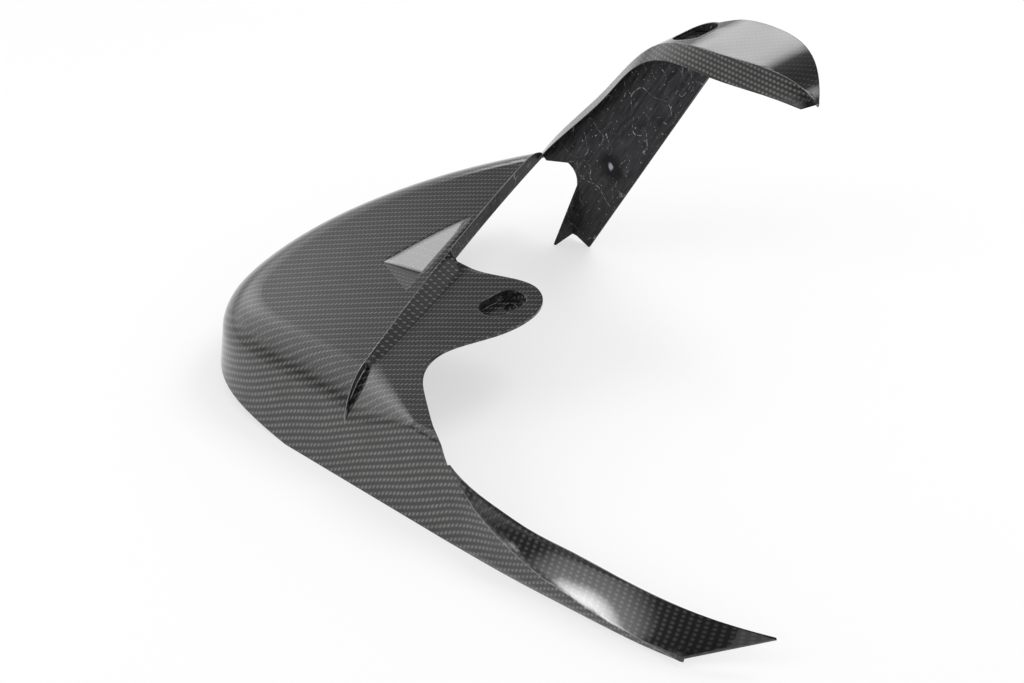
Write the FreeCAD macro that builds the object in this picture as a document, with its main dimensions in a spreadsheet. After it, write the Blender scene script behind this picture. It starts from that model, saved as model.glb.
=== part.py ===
import FreeCAD, Part
import math
import os

V = FreeCAD.Vector

SIZES = {
    "wall": 1.6,
    "shield_height": 56.5,
    "crown_radius": 1600.0,
    "shield_edge_radius": 24.0,
    "near_side": 105.0,
    "far_side": -142.0,
    "nose_front": 150.0,
    "flank_lean": 16.0,
    "nose_lean": 4.0,
    "nose_lift": 15.0,
    "skirt_far_height": 44.0,
    "ridge_near_x": 14.5,
    "ridge_far_x": 108.0,
    "ridge_drop": 10.0,
    "band_lean": 42.0,
    "scoop_depth": 9.0,
    "tab_height": 46.0,
    "tab_rear_radius": 4.0,
    "tab_front_radius": 40.0,
    "near_pocket_x": 15.0,
    "near_pocket_y": -17.0,
    "far_pocket_x": 13.0,
    "far_pocket_y": -160.0,
    "pocket_length": 28.0,
    "pocket_width": 17.0,
    "pocket_depth": 5.0,
    "bolt_hole": 6.8,
    "sleeve_wall": 2.0,
    "sleeve_length": 6.0,
    "far_tab_height": 158.5,
    "far_arm_depth": 7.0,
    "far_lip": 11.0,
    "leg_flange": 12.0,
}

doc = FreeCAD.newDocument("rear_fender")
sheet = doc.addObject("Spreadsheet::Sheet", "sizes")
for row, (name, value) in enumerate(SIZES.items(), start=1):
    sheet.set(f"A{row}", name)
    sheet.set(f"B{row}", str(value))
    sheet.setAlias(f"B{row}", name)
doc.recompute()


def size(name):
    return float(sheet.get(name))


def spline(points, start=None, end=None):
    curve = Part.BSplineCurve()
    points = [V(*p) for p in points]
    if start:
        curve.interpolate(points, InitialTangent=V(*start), FinalTangent=V(*end))
    else:
        curve.interpolate(points)
    return curve.toShape()


def path(points):
    corners = [V(*p) for p in points]
    return [Part.makeLine(a, b) for a, b in zip(corners, corners[1:])]


def prism(edges, direction):
    wire = Part.Wire(Part.sortEdges(edges)[0])
    return Part.Face(wire).extrude(V(*direction))


def polygon(points, direction):
    return prism(path(points + points[:1]), direction)


wall = size("wall")
near = size("near_side")
far = size("far_side")
shield_height = size("shield_height")
tab_height = size("tab_height")
crown = size("crown_radius")
CROWN_X = 70.0
CROWN_Y = -70.0
RIDGE_NEAR_Y = 94.0
FLANK_TAPER = 0.038
FLANK_START = 40.0
REAR = -95.0
HIGH = 90.0
TAB_FAR = -60.0
ARM_START = -56.0
ARM_RIM_Y = 91.0
POCKET_CLEAR = 12.0
BEND_REAR_X = -28.0
BEND_FRONT_X = 31.0
BAND_NEAR = 72.0
BAND_FAR = -24.0
BAND_SHARES = (0.0, 0.104, 0.208, 0.333, 0.5, 0.688, 0.854, 1.0)


def ridge_x(y):
    share = (RIDGE_NEAR_Y - y) / (RIDGE_NEAR_Y - far)
    return size("ridge_near_x") + share * (size("ridge_far_x") - size("ridge_near_x"))


def behind_ridge(shift):
    return polygon([(ridge_x(200) + shift, 200, -20), (ridge_x(-250) + shift, -250, -20),
                    (-400, -250, -20), (-400, 200, -20)], (0, 0, 300))


def plan_wire(inset, z):
    lean = z * math.tan(math.radians(size("flank_lean")))
    side = near - inset
    y = side - lean
    x = size("nose_front") - inset - z * math.tan(math.radians(size("nose_lean")))
    front = [(FLANK_START, y, z), (x - 70, side - 0.85 * lean, z), (x - 41, side - 7 - 0.5 * lean, z),
             (x - 17, side - 28 - 0.2 * lean, z), (x - 4, side - 65, z), (x - 1, -12, z), (x - 7, -58, z),
             (x - 18, -101, z), (x - 33, far, z), (x - 48, far - 30, z)]
    rear_near = (REAR, y - FLANK_TAPER * (FLANK_START - REAR), z)
    edges = [spline(front, (1, FLANK_TAPER, 0), (-0.5, -0.87, 0))]
    edges += path([front[-1], (REAR, far - 30, z), rear_near, front[0]])
    return Part.Wire(Part.sortEdges(edges)[0])


def rounded_block(inset, lid, radius):
    block = Part.makeLoft([plan_wire(inset, -10), plan_wire(inset, HIGH)], True, True)
    body = block.common(lid)
    rim = []
    for edge in body.Edges:
        middle = edge.valueAt((edge.FirstParameter + edge.LastParameter) / 2)
        if middle.z > 20 and edge.Length > 60 and (middle.x > 95 or middle.y > 60):
            rim.append(edge)
    return body.makeFillet(radius, rim)


def crown_lid(inset, drop=0):
    return Part.makeSphere(crown - inset, V(CROWN_X, CROWN_Y, shield_height - drop - crown))


def tetra(corners):
    a, b, c, d = corners
    faces = [Part.Face(Part.makePolygon([p, q, r, p])) for p, q, r in
             ((a, b, c), (a, b, d), (b, c, d), (c, a, d))]
    return Part.Solid(Part.Shell(faces))


def scoop_tool(grow):
    top = shield_height - 2
    deep = V(ridge_x(-10) + 3.6, -10, top - size("scoop_depth"))
    mouth = [V(79, 9, top), V(74, -47, top), V(50, 21, top)]
    corners = [deep] + [deep + (m - deep) * 2.8 for m in mouth]
    areas = []
    for i in range(4):
        p, q, r = [corners[j] for j in range(4) if j != i]
        areas.append((q - p).cross(r - p).Length / 2)
    centre = V()
    for corner, area in zip(corners, areas):
        centre += corner * (area / sum(areas))
    inradius = 3 * abs(tetra(corners).Volume) / sum(areas)
    ratio = (inradius + grow) / inradius
    return tetra([centre + (corner - centre) * ratio for corner in corners])


def below_edge():
    lift = size("nose_lift")
    near_part = polygon([(-400, 200, -40), (-400, 200, 0), (50, 200, 0), (160, 200, lift), (160, 200, -40)],
                        (0, -150, 0))
    front_part = polygon([(50, 50.1, -40), (50, 50.1, lift * 0.85), (50, far - 5, size("skirt_far_height")),
                          (50, far - 5, -40)], (200, 0, 0))
    return near_part.fuse(front_part)


def shield():
    radius = size("shield_edge_radius")
    outer = rounded_block(0, crown_lid(0), radius)
    inner = rounded_block(wall, crown_lid(wall), radius - wall)
    beyond = Part.makeBox(600, 200, 300, V(-300, far - wall - 200, -20))
    skin = outer.cut(scoop_tool(0)).cut(inner.cut(scoop_tool(wall)))
    skin = skin.cut(behind_ridge(0)).cut(beyond).cut(below_edge())
    lip = behind_ridge(wall).cut(behind_ridge(0)).common(outer)
    lip = lip.cut(crown_lid(0, size("ridge_drop"))).cut(beyond)
    return skin.fuse(lip)


def flank_y(x, z):
    return near - z * math.tan(math.radians(size("flank_lean"))) - FLANK_TAPER * (FLANK_START - x)


def tab_radius(x):
    slim = size("tab_rear_radius")
    share = min(max((x - BEND_REAR_X) / (BEND_FRONT_X - BEND_REAR_X), 0.0), 1.0)
    return slim + share * (size("tab_front_radius") - slim)


def tab_top(x, y):
    lean = math.radians(size("flank_lean"))
    radius = tab_radius(x)
    beyond = y - flank_y(x, tab_height) + radius * math.tan((math.pi / 2 - lean) / 2)
    if beyond < 0:
        return tab_height
    return tab_height - radius + math.sqrt(radius ** 2 - beyond ** 2)


def ridge_top(y):
    aside = math.hypot(ridge_x(y) - CROWN_X, y - CROWN_Y)
    return shield_height - crown + math.sqrt(crown ** 2 - aside ** 2)


def band():
    start = BAND_NEAR
    while ridge_top(start) < tab_height + wall and start > BAND_FAR + wall:
        start -= wall
    sections = []
    for share in BAND_SHARES:
        y = start + share * (BAND_FAR - start)
        x = ridge_x(y)
        top = ridge_top(y)
        foot = x - (top - tab_height) * math.tan(math.radians(size("band_lean")))
        low = tab_top(foot, y)
        corners = [(x, y, top), (foot, y, low), (foot, y, low - wall), (x + wall, y, low - wall),
                   (x + wall, y, top)]
        sections.append(Part.makePolygon([V(*c) for c in corners + corners[:1]]))
    return Part.makeLoft(sections, True, True)


def tab_section(x):
    radius = tab_radius(x)
    lean = math.radians(size("flank_lean"))
    corner = flank_y(x, tab_height)
    edges = []
    ends = []
    for inset in (0.0, wall):
        top = tab_height - inset
        side = corner + inset * math.tan(lean) - inset / math.cos(lean)
        bend = radius - inset
        reach = bend * math.tan((math.pi / 2 - lean) / 2)
        start = V(x, side + (top + 10) * math.tan(lean), -10)
        bent = V(x, side + reach * math.sin(lean), top - reach * math.cos(lean))
        level = V(x, side - reach, top)
        centre = V(x, side - reach, top - bend)
        half = math.pi / 4 + lean / 2
        middle = centre + V(0, math.cos(half), math.sin(half)) * bend
        finish = V(x, TAB_FAR, top)
        edges.append([Part.makeLine(start, bent), Part.Arc(bent, middle, level).toShape(),
                      Part.makeLine(level, finish)])
        ends.append((start, finish))
    (a, b), (c, d) = ends
    return Part.Wire(edges[0] + [Part.makeLine(b, d)] + edges[1][::-1] + [Part.makeLine(c, a)])


def tab():
    stations = (-66, BEND_REAR_X, BEND_FRONT_X, 80)
    skin = Part.makeLoft([tab_section(x) for x in stations], True, True)
    edge = [(50.7, -29.1), (31.8, -36.2), (21.4, -40.1), (14.2, -40.6), (7.6, -38.3), (3, -35), (-1.2, -29.3),
            (-3.8, -22.3), (-5.2, -10.1), (-3.3, 4.1), (4.1, 28.4), (5, 36.7), (3.5, 45.4), (0, 52.8),
            (-5.7, 59.7), (-23, 73), (-44, 86.5), (ARM_START, ARM_RIM_Y)]
    outline = [spline([(x, y, -20) for x, y in edge])]
    outline += path([(ARM_START, ARM_RIM_Y, -20), (ARM_START, 130, -20), (90, 130, -20), (90, -24, -20),
                     (62, -28.5, -20), (50.7, -29.1, -20)])
    skin = skin.common(prism(outline, (0, 0, HIGH + 20)))
    return skin.common(behind_ridge(wall)).cut(below_edge())


def pocket_space(x, y, top, grow):
    length = size("pocket_length") + 2 * grow
    radius = size("pocket_width") / 2 + grow
    floor = top - size("pocket_depth") - grow
    half = length / 2 - radius
    edges = []
    for end in (-1, 1):
        rim_y = y + end * half
        tip = V(x, rim_y + end * radius, 0)
        edges.append(Part.Arc(V(x - radius, rim_y, 0), tip, V(x + radius, rim_y, 0)).toShape())
    for side in (x - radius, x + radius):
        edges += path([(side, y - half, 0), (side, y + half, 0)])
    space = Part.makeBox(400, 400, top + POCKET_CLEAR - floor, V(x - 200, y - 200, floor))
    return prism(edges, (0, 0, 400)).common(space)


def add_pocket(body, x, y, top, above):
    well = pocket_space(x, y, top, wall).cut(above)
    sleeve_bottom = top - size("pocket_depth") - wall - size("sleeve_length")
    bolt_y = y - (size("pocket_length") - size("pocket_width")) / 2
    sleeve = Part.makeCylinder(size("bolt_hole") / 2 + size("sleeve_wall"), size("sleeve_length") + wall,
                               V(x, bolt_y, sleeve_bottom))
    return body.fuse([well, sleeve]).cut(pocket_space(x, y, top, 0))


def upright_normal(a, b, outward):
    across = b - a
    return (outward * across.z - V(0, 0, across.dot(outward))).normalize()


def arm():
    joined = (flank_y(ARM_START, 0) - ARM_RIM_Y) / math.tan(math.radians(size("flank_lean")))
    low = [(ARM_START, flank_y(ARM_START, 0), 0), (-64, flank_y(-64, 0), 0), (-78, near - 4.7, 0),
           (-100, near - 6, 0), (-127, near - 8.5, 0), (-155, near - 11.5, 0), (-182, near - 15, 0),
           (-197, near - 17, 1), (-205, near - 17.5, 2)]
    crease = [(ARM_START, flank_y(ARM_START, 25), 25), (-64, flank_y(-64, 25.5) + 0.2, 25.5),
              (-77, near - 9.6, 25.5), (-99, near - 7, 20.5), (-127, near - 8.2, 10),
              (-154, near - 10.5, 5.5), (-181, near - 14, 4), (-197, near - 16.5, 4.5),
              (-205.5, near - 18, 5)]
    rim = [(ARM_START, ARM_RIM_Y, joined), (-64, flank_y(-64, 33), 33), (-78, near - 14, 30),
           (-104, near - 14.5, 27.5), (-130, near - 16.5, 26.5), (-157, near - 19.5, 25.5),
           (-195, near - 26.5, 23.5), (-220, near - 36.5, 21), (-235.5, near - 48, 16.5)]
    wires = []
    for a, b, c in zip(low, crease, rim):
        a, b, c = V(*a), V(*b), V(*c)
        outward = V(0, 1, 0) if c.x > -230 else V(1, 1, 0).normalize()
        below = upright_normal(a, b, outward)
        above = upright_normal(b, c, outward)
        mitre = below + above
        mitre = mitre * (2 / mitre.dot(mitre))
        corners = [a, b, c, c - above * wall, b - mitre * wall, a - below * wall]
        wires.append(Part.makePolygon(corners + corners[:1]))
    loft = Part.makeLoft(wires, True, False)
    return loft.cut(below_edge())


def far_profile(drop):
    h = size("far_tab_height") - drop
    root = shield_height - drop
    return [(109, root - 9.5), (100, root + 3), (60, h - 51), (38, h - 23), (24, h - 10.5), (8, h - 3.5),
            (-20, h + 0.5), (-55, h + 4), (-76, h + 1), (-85, h - 4)]


def far_curve(y, drop):
    return spline([(x, y, z) for x, z in far_profile(drop)])


def far_side():
    h = size("far_tab_height")
    lip_y = far + size("far_arm_depth")
    a, b = far_profile(0)[0], far_profile(wall)[0]
    c, d = far_profile(0)[-1], far_profile(wall)[-1]
    ends = path([(a[0], far, a[1]), (b[0], far, b[1])]) + path([(c[0], far, c[1]), (d[0], far, d[1])])
    cover = prism([far_curve(far, 0), far_curve(far, wall)] + ends, (0, -90, 0))
    plan = [spline([(28, far - wall, 0), (22, far - 14, 0), (12, far - 30, 0), (1, far - 41, 0)]),
            spline([(1, far - 41, 0), (-12, far - 43.5, 0), (-38, far - 38.5, 0), (-68, far - 19.6, 0),
                    (-86, far, 0)])]
    plan += path([(-86, far, 0), (-86, far + 20, 0), (120, far + 20, 0), (120, far - wall, 0),
                  (28, far - wall, 0)])
    cover = cover.common(prism(plan, (0, 0, 400)))
    low = spline([(109, lip_y, shield_height - 14.5), (94, lip_y, shield_height + 4.5),
                  (52, lip_y, h - 48.5), (37, lip_y, h - 29),
                  (22, lip_y, h - 17), (-20, lip_y, h - size("far_lip")),
                  (-60, lip_y, h - size("far_lip") + 4), (-80, lip_y, h - size("far_lip") + 5)])
    lip = Part.makeRuledSurface(far_curve(far, 0), low).extrude(V(0, -wall, 0))
    start = far_profile(wall / 2)[0]
    finish = far_profile(wall / 2)[-1]
    notch = shield_height - 7.5
    outline = [far_curve(far, wall / 2), spline([(80.5, far, 37.5), (83, far, notch - 3), (88, far, notch)])]
    outline += path([(finish[0], far, finish[1]), (-13, far, finish[1] - 8), (-13, far, 143), (70.5, far, 0),
                     (80, far, 3.5), (85, far, 3.5), (80.5, far, 37.5)])
    outline += path([(88, far, notch), (105, far, notch - 5.5), (start[0], far, start[1])])
    side = prism(outline, (0, -wall, 0)).cut(Part.makeBox(200, 40, 400, V(-213, far - 20, -20)))
    flange = polygon([(80.5, far, 37.5), (85, far, 3.5), (87, far + size("leg_flange"), 0)], (-wall, 0, 0))
    return cover.fuse([lip, side, flange])


def above_far_tab():
    curve = far_curve(far + 20, 0)
    first, last = far_profile(0)[0], far_profile(0)[-1]
    sky = path([(first[0], far + 20, first[1]), (first[0], far + 20, 300), (last[0], far + 20, 300),
                (last[0], far + 20, last[1])])
    return prism([curve] + sky, (0, -120, 0))


def feature(label, shape):
    thing = doc.addObject("Part::Feature", label)
    thing.Shape = shape
    return thing


def bolt_hole(label, x, y, z):
    hole = doc.addObject("Part::Cylinder", label)
    hole.setExpression("Radius", "<<sizes>>.bolt_hole / 2")
    hole.Height = 30
    hole.setExpression("Placement.Base.x", "<<sizes>>." + x)
    hole.setExpression("Placement.Base.y", "<<sizes>>." + y
                       + " - (<<sizes>>.pocket_length - <<sizes>>.pocket_width) / 2")
    hole.setExpression("Placement.Base.z", "<<sizes>>." + z + " - 25")
    return hole


near_above = Part.makeBox(400, 400, 100, V(-200, -200, tab_height))
near_tab = add_pocket(tab(), size("near_pocket_x"), size("near_pocket_y"), tab_height, near_above)
far_tab = add_pocket(far_side(), size("far_pocket_x"), size("far_pocket_y"), size("far_tab_height") - 6,
                     above_far_tab())
skins = [feature("shield_skin", shield()), feature("band_skin", band()), feature("tab_skin", near_tab),
         feature("arm_skin", arm()), feature("far_skin", far_tab)]
shell = doc.addObject("Part::MultiFuse", "shell")
shell.Shapes = skins
holes = doc.addObject("Part::MultiFuse", "bolt_holes")
holes.Shapes = [bolt_hole("near_bolt_hole", "near_pocket_x", "near_pocket_y", "tab_height"),
                bolt_hole("far_bolt_hole", "far_pocket_x", "far_pocket_y", "far_tab_height")]
drilled = doc.addObject("Part::Cut", "drilled")
drilled.Base = shell
drilled.Tool = holes
doc.recompute()

box = drilled.Shape.optimalBoundingBox(False, False)
node = feature("rear_fender", drilled.Shape.Solids[0])
node.Placement = FreeCAD.Placement(V(-box.Center.x, -box.Center.y, -box.ZMin), FreeCAD.Rotation())
doc.recompute()

for thing in doc.Objects:
    if "Invalid" in thing.State or "Error" in thing.State:
        raise RuntimeError(thing.Label + " did not compute")
    if hasattr(thing, "Shape") and (thing.Shape.isNull() or not thing.Shape.isValid()):
        raise RuntimeError(thing.Label + " has no valid shape")
if len(drilled.Shape.Solids) != 1:
    raise RuntimeError("the fender is not one solid")

os.makedirs("parts", exist_ok=True)
node.Shape.exportStep("parts/rear_fender.step")
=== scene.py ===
import math

import bpy
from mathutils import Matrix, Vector

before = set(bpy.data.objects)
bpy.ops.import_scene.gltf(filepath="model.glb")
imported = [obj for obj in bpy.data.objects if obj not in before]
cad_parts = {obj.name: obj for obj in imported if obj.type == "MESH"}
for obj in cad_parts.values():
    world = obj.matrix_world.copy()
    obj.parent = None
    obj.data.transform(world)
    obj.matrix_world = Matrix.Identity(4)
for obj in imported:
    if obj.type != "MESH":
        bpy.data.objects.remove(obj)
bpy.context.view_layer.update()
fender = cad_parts["rear_fender"]
scene = bpy.context.scene

# The camera stands where the photograph was taken: 35 degrees up, behind the near side.
SENSOR_WIDTH = 36.0
LENS = 86.66
CAMERA_AT = (-0.7043, 0.7793, 0.7602)
CAMERA_TURN = (math.radians(55.5), 0.0, math.radians(225.0))

# The cloth, in metres.
TOW = 0.0015                    # width of one woven tow
FLANK_STEP = 0.0022             # from float to float along a row on the flanks
FLANK_ROW = 0.0037              # from row to row up the flanks
FLANK_SLOPE = 0.486             # how far the rows fall as they run forward
FLANK_SHEAR = 0.2               # how far the floats lean as they go up
FAR_STEP = 0.0026               # rows and floats on the far side
FAR_LEAN = 0.35                 # how far the far side's rows rise as they go outwards
DRAPE = 1.5                     # how far the draped rows wander, in rows
DRAPE_SCALE = 17.0
CLOTH_SHARPNESS = 8.0           # how sharply one cloth gives way to the next at a fold
FRONT_SHARE = 0.02              # keeps the front cloth to nearly upright faces
FLOATS = (                      # a float's length and its rounding along and across
    (0.5, 1.2, 3.0),            # top
    (0.62, 0.7, 1.1),           # flank
    (0.5, 0.8, 1.5),            # front
)
WEFT_SHARE = 0.2                # how bright the weft's painted sheen is, next to the warp's
HIGH_TOP_SHARE = 0.3              # how bright the cloth is on the far tab's high faces that look upwards
SCOOP_SHARE = 0.2               # and in the scoop

# Where the fender's features are, in metres.
CROWN_AT = (0.1140, -0.0299)    # the shield's highest point, in plan
CROWN_TOP = 0.0565              # its height
CROWN_RADIUS = 1.6
RIDGE_START = (0.0584, 0.1341)  # near end of the shield's ridge line, in plan
RIDGE_RUN = 0.396               # how far the ridge line runs forward as it goes across
FAR_FOLD_Y = -0.1019            # the fold between the far tab and its lip
LINE_HALF = 0.0005              # half the width of the painted highlight line on the far fold
SCOOP_AT = (0.116, 0.016, 0.054)
SCOOP_REACH = (0.034, 0.026)    # the scoop's rim and where its finish is full
FAR_PART_Y = -0.05              # beyond it the cloth belongs to the far side
ARM_FRONT_X = -0.020            # the arm's upper face starts behind this
ARM_SIDE_Y = 0.05               # the arm is on the near side of this
ARM_ROW = 0.0037                # rows and floats of the cloth on the arm's upper face
ARM_STEP = 0.0021
ARM_CLOTH = 0.50                # how bright that cloth is, next to the rest
ARM_TIP_CLOTH = 0.25            # the same at the arm's tip
ARM_CURVE = 5.0                 # how strongly the arm's upper face bulges, per metre
CREASE_RUNS = ((0.31, 0.0357), (0.11, 0.0191))  # slope and height of the arm's crease, front and rear
CREASE_HALF = 0.0003            # half the width of the painted highlight line on it
RESIN_POOL = (0.0985, -0.1019, 0.0600)
WALL_SLOPE = (-0.504, 0.864)    # the far wall's length, in X and Z
CORE = (0.05, 0.0, -0.10)       # a point inside the fender: raw faces look towards it
EDGE_RADIUS, ARM_RADIUS, SCOOP_RADIUS = 0.0007, 0.005, 0.0035
CORNER_RADIUS = 0.0009          # corners tighter than this are cut edges
SCRATCHES = (                   # scale, shift and width of each set
    (22.0, 0.0, 0.0024),
    (41.0, 5.3, 0.0030),
    (31.0, 11.7, 0.0024),
    (52.0, 3.1, 0.003),
)

# The weave is real; the bright floats' colour is painted fibre sheen.
CLOTH_DARK, CLOTH_SHEEN = (0.004, 0.004, 0.005, 1), (0.15, 0.147, 0.14, 1)
RAW_DARK, RAW_PALE = (0.006, 0.006, 0.007, 1), (0.050, 0.050, 0.053, 1)
SCRATCH_PALE = (0.50, 0.50, 0.50, 1)
POOL_RIM, POOL_MIDDLE = (0.004, 0.004, 0.005, 1), (0.40, 0.43, 0.48, 1)
CUT_EDGE = (0.006, 0.006, 0.006, 1)
# the pale of the painted highlight lines on the ridge, the far fold and the arm's crease
PAINTED_HIGHLIGHT = (0.42, 0.42, 0.42, 1)

# The studio as the gloss sees it: where a light stands, the cosines at its rim and its core, its level.
STUDIO = [
    ((0.80, -0.25, 0.55), 0.905, 1.0, 1.6),       # cove behind the nose
    ((0.74, 0.20, 0.63), 0.74, 1.0, 2.1),         # cove beside the nose
    ((0.64, -0.695, 0.335), 0.991, 0.999, 2.6),   # low strip behind the far tab
    ((-0.08, -0.52, 0.85), 0.955, 0.995, 9.0),    # overhead box
    ((0.285, 0.958, 0.0), 0.965, 0.9990, 3.5),    # low box beside the camera
    ((0.305, 0.952, 0.0), 0.9960, 0.9999, 17.0),  # its bulb
]
LOBE_FALL = 1.4                 # how quickly a light fades towards its rim
HORIZON_LEVEL = 0.6
BESIDE_LEVEL = 0.5
ROOM_LEVEL = 0.10
DIFFUSE_LEVEL = 0.75            # the even light that falls on the fender and the floor
FLOOR_WHITE = 0.6               # how far the floor that is seen is plain white


class Graph:
    """A small builder for shader node trees. Values are numbers, tuples or sockets."""

    def __init__(self, tree):
        self.tree = tree
        tree.nodes.clear()

    def node(self, kind, values=None, **settings):
        made = self.tree.nodes.new(kind)
        for name, value in settings.items():
            setattr(made, name, value)
        for name, value in (values or {}).items():
            self.plug(made.inputs[name], value)
        return made

    def plug(self, socket, value):
        if isinstance(value, bpy.types.NodeSocket):
            self.tree.links.new(value, socket)
        else:
            socket.default_value = value

    def math(self, operation, *values):
        made = self.node("ShaderNodeMath", operation=operation)
        for socket, value in zip(made.inputs, values):
            self.plug(socket, value)
        return made.outputs[0]

    def add(self, a, b):
        return self.math("ADD", a, b)

    def sub(self, a, b):
        return self.math("SUBTRACT", a, b)

    def mul(self, a, b):
        return self.math("MULTIPLY", a, b)

    def blend(self, share, a, b):
        made = self.node("ShaderNodeMix", data_type="FLOAT")
        self.plug(made.inputs[0], share)
        self.plug(made.inputs[2], a)
        self.plug(made.inputs[3], b)
        return made.outputs[0]

    def blend_color(self, share, a, b):
        made = self.node("ShaderNodeMix", data_type="RGBA")
        self.plug(made.inputs[0], share)
        self.plug(made.inputs[6], a)
        self.plug(made.inputs[7], b)
        return made.outputs[2]

    def ramp(self, value, low, high, start=0.0, end=1.0):
        made = self.node("ShaderNodeMapRange", {"Value": value, "From Min": low, "From Max": high,
                                                "To Min": start, "To Max": end}, clamp=True)
        return made.outputs[0]

    def split(self, vector):
        return self.node("ShaderNodeSeparateXYZ", {"Vector": vector}).outputs

    def vector(self, operation, a, b):
        made = self.node("ShaderNodeVectorMath", operation=operation)
        self.plug(made.inputs[0], a)
        self.plug(made.inputs[1], b)
        return made.outputs["Value" if operation in ("DOT_PRODUCT", "DISTANCE") else "Vector"]

    def join(self, x, y, z):
        return self.node("ShaderNodeCombineXYZ", {"X": x, "Y": y, "Z": z}).outputs[0]

    def noise(self, vector, scale, detail=3.0, rough=0.6):
        made = self.node("ShaderNodeTexNoise", {"Vector": vector, "Scale": scale, "Detail": detail,
                                                "Roughness": rough})
        return made.outputs[0]


def cloth_weights(graph, normal):
    """How far each surface point belongs to the top, flank and front cloth: sharp, but not hard."""
    strengths = [graph.math("POWER", graph.math("ABSOLUTE", part), CLOTH_SHARPNESS) for part in normal]
    front, flank, top = strengths
    front = graph.mul(front, FRONT_SHARE)
    total = graph.add(graph.add(front, flank), top)
    return [graph.math("DIVIDE", part, total) for part in (top, flank, front)]


def above_crease(graph, place):
    """Height above the crease that runs down the arm, in metres."""
    x, _, z = place
    steep, flat = [graph.add(graph.mul(x, slope), height) for slope, height in CREASE_RUNS]
    return graph.sub(z, graph.math("MAXIMUM", steep, flat))


def on_near_arm(graph, place):
    """1 on the arm, fading in where it leaves the flank."""
    x, y, _ = place
    return graph.mul(graph.ramp(x, -0.015, -0.040), graph.math("GREATER_THAN", y, ARM_SIDE_Y))


def arm_top(graph, place):
    """1 on the arm's upper face."""
    upper = graph.math("GREATER_THAN", above_crease(graph, place), 0.0)
    behind = graph.math("LESS_THAN", place[0], ARM_FRONT_X)
    return graph.mul(graph.mul(upper, behind), graph.math("GREATER_THAN", place[1], ARM_SIDE_Y))


def cloth_places(graph, place, position):
    """Float across a row and row up the cloth, for the top, flank and front cloth."""
    x, y, z = place
    wander = graph.mul(graph.sub(graph.noise(position, DRAPE_SCALE, 1.0), 0.5), DRAPE)
    row = graph.add(graph.mul(graph.add(z, graph.mul(x, FLANK_SLOPE)), 1 / FLANK_ROW), wander)
    across = graph.mul(graph.add(x, graph.mul(z, FLANK_SHEAR)), 1 / FLANK_STEP)

    on_arm = arm_top(graph, place)
    row = graph.blend(on_arm, row, graph.add(graph.mul(x, 1 / ARM_ROW), graph.mul(wander, 0.4)))
    across = graph.blend(on_arm, across, graph.mul(z, 1 / ARM_STEP))

    far = graph.math("LESS_THAN", y, FAR_PART_Y)
    far_row = graph.mul(graph.sub(z, graph.mul(y, FAR_LEAN)), 1 / FAR_STEP)
    far_across = graph.add(graph.mul(x, 1 / FAR_STEP), graph.mul(graph.math("FLOOR", far_row), 0.5))
    row = graph.blend(far, row, far_row)
    across = graph.blend(far, across, far_across)

    x, y, z = [graph.mul(part, 1 / TOW) for part in place]
    top_row = graph.add(graph.mul(graph.sub(y, x), 0.25), graph.mul(wander, 0.3))
    front_row = graph.mul(graph.sub(z, y), 0.25)
    return (x, top_row), (across, row), (y, front_row)


def float_shape(graph, along, across, cloth):
    """One tow's float over two others: a rounded hump, zero outside it."""
    length, long_round, wide_round = cloth
    lifted = graph.math("LESS_THAN", along, length)
    swell = graph.math("MAXIMUM", graph.math("SINE", graph.mul(along, math.pi / length)), 0.0)
    width = graph.math("SINE", graph.mul(across, math.pi))
    hump = graph.mul(graph.math("POWER", swell, long_round), graph.math("POWER", width, wide_round))
    return graph.mul(lifted, hump)


def twill(graph, place, row, cloth):
    """Two-by-two twill: warp floats make up one half of each row, weft floats the other."""
    warp = float_shape(graph, graph.math("FRACT", row), graph.math("FRACT", place), cloth)
    weft_place = graph.math("FRACT", graph.add(place, graph.mul(row, 4.0)))
    weft = float_shape(graph, graph.math("FRACT", graph.add(row, 0.5)), weft_place, cloth)
    return warp, weft


def woven(graph, place, position, normal):
    """The warp's and the weft's floats over the whole fender, cross-faded at the folds."""
    warps, wefts = [], []
    cloths = cloth_places(graph, place, position)
    for share, (across, row), cloth in zip(cloth_weights(graph, normal), cloths, FLOATS):
        warp, weft = twill(graph, across, row, cloth)
        warps.append(graph.mul(share, warp))
        wefts.append(graph.mul(share, weft))
    warp = graph.add(graph.add(warps[0], warps[1]), warps[2])
    weft = graph.add(graph.add(wefts[0], wefts[1]), wefts[2])
    return warp, weft


def raw_mask(graph, position, normal):
    """1 on the mould's rough inner faces, which look towards the fender's core."""
    from_core = graph.vector("SUBTRACT", position, CORE)
    return graph.math("LESS_THAN", graph.vector("DOT_PRODUCT", normal, from_core), 0.0)


def corner_turn(graph, normal):
    """How squarely the surface turns within a millimetre: 1 on open faces, about 0.7 on a corner."""
    rounded = graph.node("ShaderNodeBevel", {"Radius": CORNER_RADIUS}, samples=8).outputs[0]
    return graph.vector("DOT_PRODUCT", rounded, normal)


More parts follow.
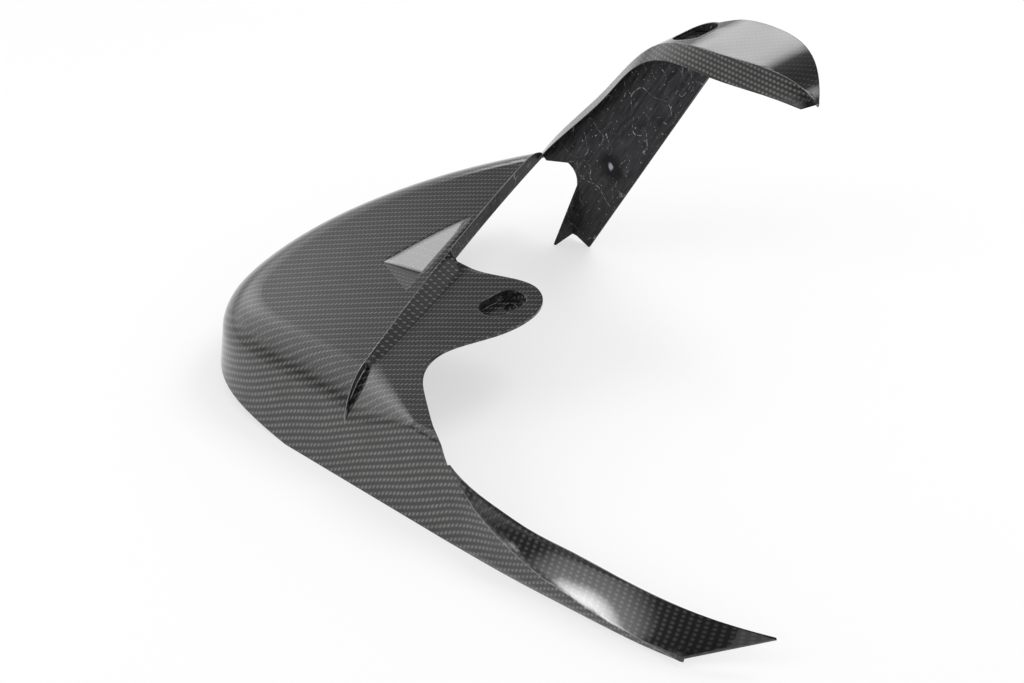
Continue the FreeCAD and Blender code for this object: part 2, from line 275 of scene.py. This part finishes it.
def painted_highlight_lines(graph, place, turn):
    """How far pale lines of painted highlight are laid on: thin lines on the ridge, the far fold and the
    arm's crease.
    """
    x, y, z = place
    on_corner = graph.ramp(turn, 0.97, 0.90)
    ridge_x = graph.add(graph.mul(graph.sub(RIDGE_START[1], y), RIDGE_RUN), RIDGE_START[0])
    off_ridge = graph.math("ABSOLUTE", graph.sub(graph.sub(x, ridge_x), 0.0008))
    from_crown = graph.add(graph.math("POWER", graph.sub(x, CROWN_AT[0]), 2.0),
                           graph.math("POWER", graph.sub(y, CROWN_AT[1]), 2.0))
    crown = graph.sub(CROWN_TOP, graph.mul(from_crown, 0.5 / CROWN_RADIUS))
    depth = graph.sub(crown, z)
    deepest = graph.ramp(y, 0.108, 0.112, 0.002, 0.020)
    on_ridge = graph.mul(graph.math("LESS_THAN", off_ridge, 0.0016), graph.math("LESS_THAN", depth, deepest))
    off_fold = graph.math("ABSOLUTE", graph.sub(y, FAR_FOLD_Y))
    on_fold = graph.mul(graph.math("LESS_THAN", off_fold, LINE_HALF), graph.ramp(z, 0.110, 0.150))
    on_corners = graph.mul(graph.math("MAXIMUM", on_ridge, on_fold), on_corner)
    off_crease = graph.math("ABSOLUTE", above_crease(graph, place))
    on_crease = graph.mul(graph.math("LESS_THAN", off_crease, CREASE_HALF), on_near_arm(graph, place))
    return graph.math("MAXIMUM", graph.mul(on_corners, 0.8), graph.mul(on_crease, 0.35))


def scratches(graph, position):
    """Curved scratches: thin contour lines of slow noise, broken into dashes."""
    lines = 0.0
    for scale, shift, width in SCRATCHES:
        moved = graph.vector("ADD", position, (shift, shift, shift))
        slow = graph.noise(moved, scale, 1.0)
        contour = graph.math("LESS_THAN", graph.math("ABSOLUTE", graph.sub(slow, 0.5)), width)
        kept = graph.ramp(graph.noise(moved, 45.0, 2.0), 0.50, 0.60)
        dashes = graph.ramp(graph.noise(moved, 650.0, 1.0), 0.44, 0.56)
        lines = graph.math("MAXIMUM", lines, graph.mul(contour, graph.mul(kept, dashes)))
    return lines


def outer_cloth(graph, geometry, position, place, on_scoop, warp, weft):
    """The colour of the woven cloth under its clear coat: a real weave pattern, its bright floats painted
    fibre sheen.
    """
    tone = graph.ramp(graph.noise(position, 90.0), 0.3, 0.7, 0.8, 1.2)
    level = graph.ramp(graph.split(geometry["Normal"])[2], 0.6, 0.8)
    # dimmer cloth on the far tab's high faces that look upwards
    high_top = graph.mul(graph.ramp(place[2], 0.10, 0.14), level)
    upright = graph.split(geometry["True Normal"])[2]
    tilted = graph.mul(graph.ramp(upright, 0.985, 0.96), graph.ramp(upright, 0.72, 0.80))
    arm_shown = graph.ramp(place[0], -0.12, -0.18, ARM_CLOTH, ARM_TIP_CLOTH)
    shown = graph.mul(graph.blend(high_top, 1.0, HIGH_TOP_SHARE),
                      graph.blend(arm_top(graph, place), 1.0, arm_shown))
    shown = graph.mul(shown, graph.blend(graph.mul(on_scoop, tilted), 1.0, SCOOP_SHARE))
    # the floats' brightness is painted fibre sheen on the real weave
    bright = graph.mul(graph.add(warp, graph.mul(weft, WEFT_SHARE)), graph.mul(tone, shown))
    return graph.blend_color(bright, CLOTH_DARK, CLOTH_SHEEN)


def wall_stain(graph, place):
    """Streaks along the far wall's length, 0 to 1."""
    along = graph.add(graph.mul(place[0], WALL_SLOPE[0]), graph.mul(place[2], WALL_SLOPE[1]))
    across = graph.sub(graph.mul(place[0], WALL_SLOPE[1]), graph.mul(place[2], WALL_SLOPE[0]))
    long_ways = graph.join(across, place[1], graph.mul(along, 0.12))
    return graph.ramp(graph.noise(long_ways, 520.0), 0.3, 0.7)


def raw_laminate(graph, position, stain, mark):
    """The colour of the rough inner side: streaks, scratches, specks and one pool of pale resin."""
    color = graph.blend_color(stain, RAW_DARK, RAW_PALE)
    color = graph.blend_color(graph.mul(mark, 0.6), color, SCRATCH_PALE)
    from_pool = graph.vector("DISTANCE", position, RESIN_POOL)
    ragged = graph.add(from_pool, graph.mul(graph.noise(position, 260.0), 0.008))
    color = graph.blend_color(graph.ramp(ragged, 0.015, 0.010), color, POOL_RIM)
    return graph.blend_color(graph.ramp(ragged, 0.0068, 0.0050, 0.0, 0.8), color, POOL_MIDDLE)


def rounded_normal(graph, place, on_scoop):
    """The surface's normal with its edges rounded and the arm's upper face bulged."""
    on_arm = on_near_arm(graph, place)
    arm_front = graph.mul(on_arm, graph.ramp(place[0], -0.125, -0.090))
    radius = graph.blend(on_scoop, graph.blend(arm_front, EDGE_RADIUS, ARM_RADIUS), SCOOP_RADIUS)
    bevel = graph.node("ShaderNodeBevel", {"Radius": radius}, samples=8).outputs[0]
    rise = graph.math("MAXIMUM", above_crease(graph, place), 0.0)
    sag = graph.mul(graph.mul(graph.mul(rise, rise), on_arm), -0.5 * ARM_CURVE)
    return graph.node("ShaderNodeBump", {"Strength": 1.0, "Distance": 1.0, "Height": sag,
                                         "Normal": bevel}).outputs[0]


def carbon():
    material = bpy.data.materials.new("carbon_laminate")
    material.use_nodes = True
    graph = Graph(material.node_tree)
    geometry = graph.node("ShaderNodeNewGeometry").outputs
    position = graph.node("ShaderNodeTexCoord").outputs["Object"]
    place = graph.split(position)
    warp, weft = woven(graph, place, position, graph.split(geometry["Normal"]))
    raw = raw_mask(graph, position, geometry["True Normal"])
    on_scoop = graph.ramp(graph.vector("DISTANCE", position, SCOOP_AT), *SCOOP_REACH)
    stain = wall_stain(graph, place)
    specks = graph.math("GREATER_THAN", graph.noise(position, 700.0, 1.0), 0.74)
    mark = graph.math("MAXIMUM", scratches(graph, position), specks)

    cloth = outer_cloth(graph, geometry, position, place, on_scoop, warp, weft)
    color = graph.blend_color(raw, cloth, raw_laminate(graph, position, stain, mark))
    turn = corner_turn(graph, geometry["True Normal"])
    color = graph.blend_color(graph.ramp(turn, 0.92, 0.78, 0.0, 0.85), color, CUT_EDGE)
    # painted highlights: thin pale lines on the ridge, the far fold and the arm's crease
    color = graph.blend_color(painted_highlight_lines(graph, place, turn), color, PAINTED_HIGHLIGHT)

    height = graph.blend(raw, graph.mul(graph.add(warp, weft), 0.25), graph.add(stain, mark))
    bulge = rounded_normal(graph, place, on_scoop)
    bump = graph.node("ShaderNodeBump", {"Strength": 0.25, "Distance": 0.0003, "Height": height,
                                         "Normal": bulge}).outputs[0]
    shader = graph.node("ShaderNodeBsdfPrincipled", {
        "Base Color": color,
        "Metallic": graph.blend(raw, 0.25, 0.0),
        "Specular IOR Level": 0.12,
        "Roughness": graph.blend(raw, 0.42, graph.ramp(stain, 0.0, 1.0, 0.45, 0.7)),
        "Normal": bump,
        "Coat Weight": graph.blend(raw, 1.0, 0.06),
        "Coat Roughness": 0.05,
        "Coat Normal": bulge,
    })
    out = graph.node("ShaderNodeOutputMaterial")
    graph.plug(out.inputs["Surface"], shader.outputs[0])
    return material


def seen_directly(graph):
    """1 for camera, glossy and transmission rays."""
    path = graph.node("ShaderNodeLightPath").outputs
    seen = graph.math("MAXIMUM", path["Is Camera Ray"], path["Is Glossy Ray"])
    return graph.math("MAXIMUM", seen, path["Is Transmission Ray"])


def white_floor():
    material = bpy.data.materials.new("floor")
    material.use_nodes = True
    graph = Graph(material.node_tree)
    diffuse = graph.node("ShaderNodeBsdfDiffuse", {"Color": (0.86, 0.86, 0.87, 1)})
    white = graph.node("ShaderNodeEmission", {"Color": (1, 1, 1, 1), "Strength": 1.0})
    mix = graph.node("ShaderNodeMixShader", {"Fac": graph.mul(seen_directly(graph), FLOOR_WHITE)})
    graph.plug(mix.inputs[1], diffuse.outputs[0])
    graph.plug(mix.inputs[2], white.outputs[0])
    out = graph.node("ShaderNodeOutputMaterial")
    graph.plug(out.inputs["Surface"], mix.outputs[0])
    return material


def studio_world():
    world = scene.world or bpy.data.worlds.new("world")
    scene.world = world
    world.use_nodes = True
    graph = Graph(world.node_tree)
    direction = graph.node("ShaderNodeTexCoord").outputs["Generated"]
    level = ROOM_LEVEL
    for towards, rim, core, strength in STUDIO:
        nearness = graph.vector("DOT_PRODUCT", direction, Vector(towards).normalized())
        lobe = graph.math("POWER", graph.ramp(nearness, rim, core), LOBE_FALL)
        level = graph.add(level, graph.mul(lobe, strength))
    x, y, z = graph.split(direction)
    behind = graph.ramp(graph.sub(graph.mul(x, 0.66), graph.mul(y, 0.75)), 0.0, 0.5)
    horizon = graph.mul(behind, graph.ramp(z, 0.46, 0.30, 0.0, HORIZON_LEVEL))
    beside = graph.mul(graph.ramp(x, 0.35, 0.55), graph.ramp(z, 0.30, 0.15, 0.0, BESIDE_LEVEL))
    level = graph.add(level, graph.math("MAXIMUM", horizon, beside))
    path = graph.node("ShaderNodeLightPath").outputs
    mirrored = graph.math("MAXIMUM", path["Is Glossy Ray"], path["Is Transmission Ray"])
    strength = graph.blend(path["Is Camera Ray"], graph.blend(mirrored, DIFFUSE_LEVEL, level), 1.0)
    back = graph.node("ShaderNodeBackground", {"Color": (1, 1, 1, 1), "Strength": strength})
    out = graph.node("ShaderNodeOutputWorld")
    graph.plug(out.inputs["Surface"], back.outputs[0])


def softbox(name, towards, distance, size, power):
    lamp = bpy.data.objects.new(name, bpy.data.lights.new(name, "AREA"))
    lamp.data.shape = "RECTANGLE"
    lamp.data.size, lamp.data.size_y = size
    lamp.data.energy = power
    direction = Vector(towards).normalized()
    lamp.location = direction * distance
    lamp.rotation_euler = direction.to_track_quat("Z", "Y").to_euler()
    lamp.visible_glossy = False
    scene.collection.objects.link(lamp)


def floor_plane(half):
    mesh = bpy.data.meshes.new("floor")
    corners = [(-half, -half, 0), (half, -half, 0), (half, half, 0), (-half, half, 0)]
    mesh.from_pydata(corners, [], [(0, 1, 2, 3)])
    mesh.materials.append(white_floor())
    plane = bpy.data.objects.new("floor", mesh)
    scene.collection.objects.link(plane)


def photo_camera():
    camera = bpy.data.objects.new("camera", bpy.data.cameras.new("camera"))
    scene.collection.objects.link(camera)
    camera.location = CAMERA_AT
    camera.rotation_euler = CAMERA_TURN
    camera.data.sensor_width = SENSOR_WIDTH
    camera.data.lens = LENS
    scene.camera = camera


fender.data.materials.clear()
fender.data.materials.append(carbon())
photo_camera()
floor_plane(6.0)
studio_world()
softbox("overhead", towards=(-0.08, -0.52, 0.85), distance=1.6, size=(0.7, 0.7), power=9.0)
softbox("beside_camera", towards=(0.5, 0.75, 0.55), distance=1.6, size=(0.8, 0.8), power=7.0)
scene.view_settings.view_transform = "Standard"
